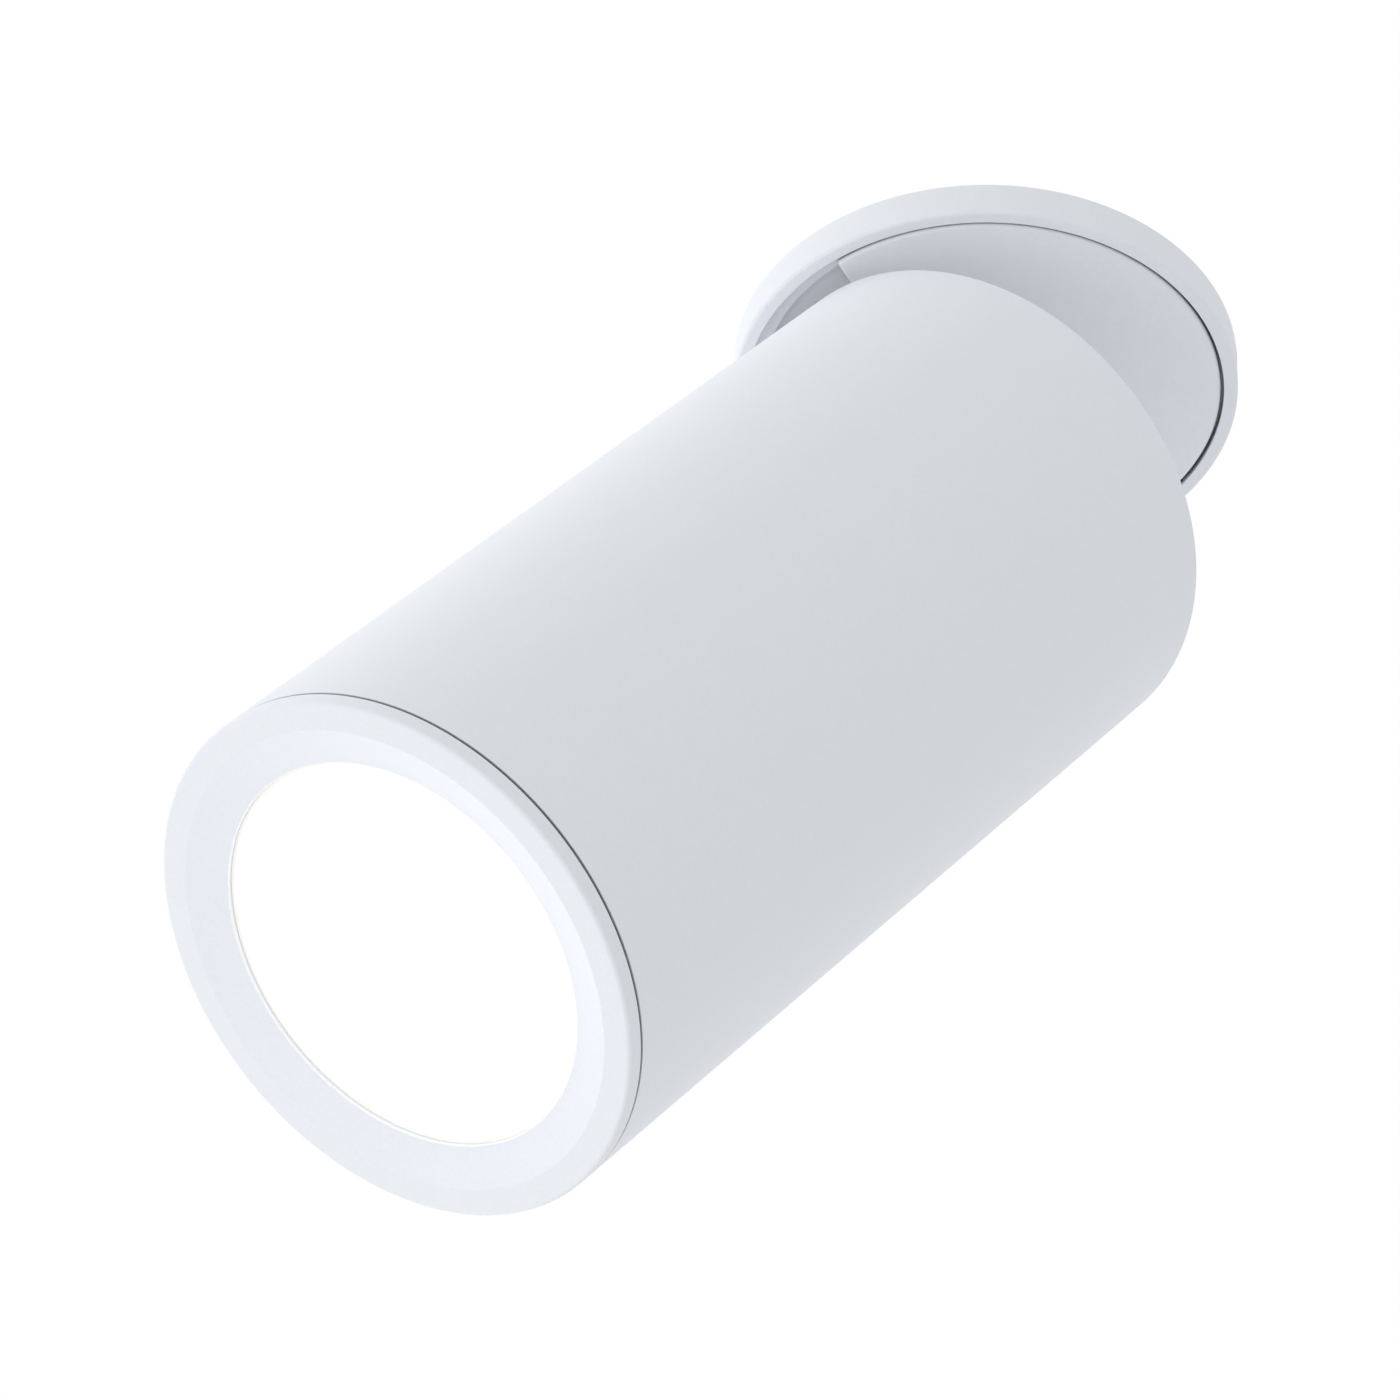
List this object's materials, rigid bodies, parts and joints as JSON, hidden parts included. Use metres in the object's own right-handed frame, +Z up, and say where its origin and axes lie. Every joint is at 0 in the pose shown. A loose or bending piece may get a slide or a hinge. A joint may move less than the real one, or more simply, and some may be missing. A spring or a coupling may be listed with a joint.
{
  "type": "ceiling spotlight",
  "caption": "Surface-mounted ceiling spotlight: a thin round canopy with a turning disc and an edge hinge that carries a long cylindrical lamp head.",
  "frame": {"origin": "centre of the ceiling plane, midway between the two ceiling screws", "axes": "+Z up out of the ceiling face, and the head leans towards -X at rest"},
  "size_m": [0.1631, 0.08, 0.1784],
  "materials": {
    "white_powder_coat": "fine-textured matt powder coat",
    "zinc_steel": "bright zinc plate",
    "spring_steel": "phosphated spring steel",
    "slide_plastic": "low-friction plastic",
    "grey_rubber": "matt",
    "terminal_plastic": "moulded",
    "brass": "turned",
    "white_plastic": "moulded, fine texture",
    "board_green": "solder mask",
    "copper_coil": "taped winding on a ferrite core",
    "capacitor_sleeve": "shrink sleeve",
    "bare_aluminium": "die-cast, blasted",
    "pad_grey": "soft pad",
    "board_white": "white solder mask on aluminium",
    "chip_yellow": "phosphor",
    "reflector_white": "satin white",
    "opal_diffuser": "opal, lit from behind",
    "clear_silicone": "soft, milky"
  },
  "bodies": {
    "canopy": {"canopy": "white_powder_coat", "ceiling_plate": "zinc_steel", "canopy_screws": "zinc_steel", "stop_pin": "zinc_steel", "friction_washer": "slide_plastic"},
    "swivel": {"cover_disc": "white_powder_coat", "swivel_bush": "zinc_steel", "spring_washer": "spring_steel", "retaining_ring": "spring_steel", "hinge_arm": "white_powder_coat", "arm_screws": "zinc_steel"},
    "head": {"head_tube": "white_powder_coat", "back_cap": "white_powder_coat", "cap_screws": "zinc_steel", "hinge_bracket": "zinc_steel", "bracket_screws": "zinc_steel", "hinge_pin": "zinc_steel", "hinge_nut": "zinc_steel", "hinge_washers": "slide_plastic", "cable_grommet": "grey_rubber", "terminal_block": "terminal_plastic", "terminal_screws": "zinc_steel", "earth_screw": "brass", "driver_bracket": "zinc_steel", "bracket_feet_screws": "zinc_steel", "driver_case": "white_plastic", "driver_lid": "white_plastic", "driver_board": "board_green", "transformer": "copper_coil", "capacitors": "capacitor_sleeve", "case_screws": "zinc_steel", "heat_sink": "bare_aluminium", "thermal_pad": "pad_grey", "light_board": "board_white", "light_chips": "chip_yellow", "board_screws": "zinc_steel", "reflector": "reflector_white", "diffuser": "opal_diffuser", "diffuser_gasket": "clear_silicone", "front_bezel": "white_powder_coat", "bezel_seal": "grey_rubber"}
  },
  "joints": [
    {"name": "head_turn", "type": "hinge", "parent": "canopy", "child": "swivel", "pos_m": [0, 0, -0.0024], "axis": [0, 0, 1], "range_deg": [-175, 175]},
    {"name": "head_tilt", "type": "hinge", "parent": "swivel", "child": "head", "pos_m": [-0.0325, 0, -0.0184], "axis": [0, 1, 0], "range_deg": [-35.8, 54.2]}
  ]
}
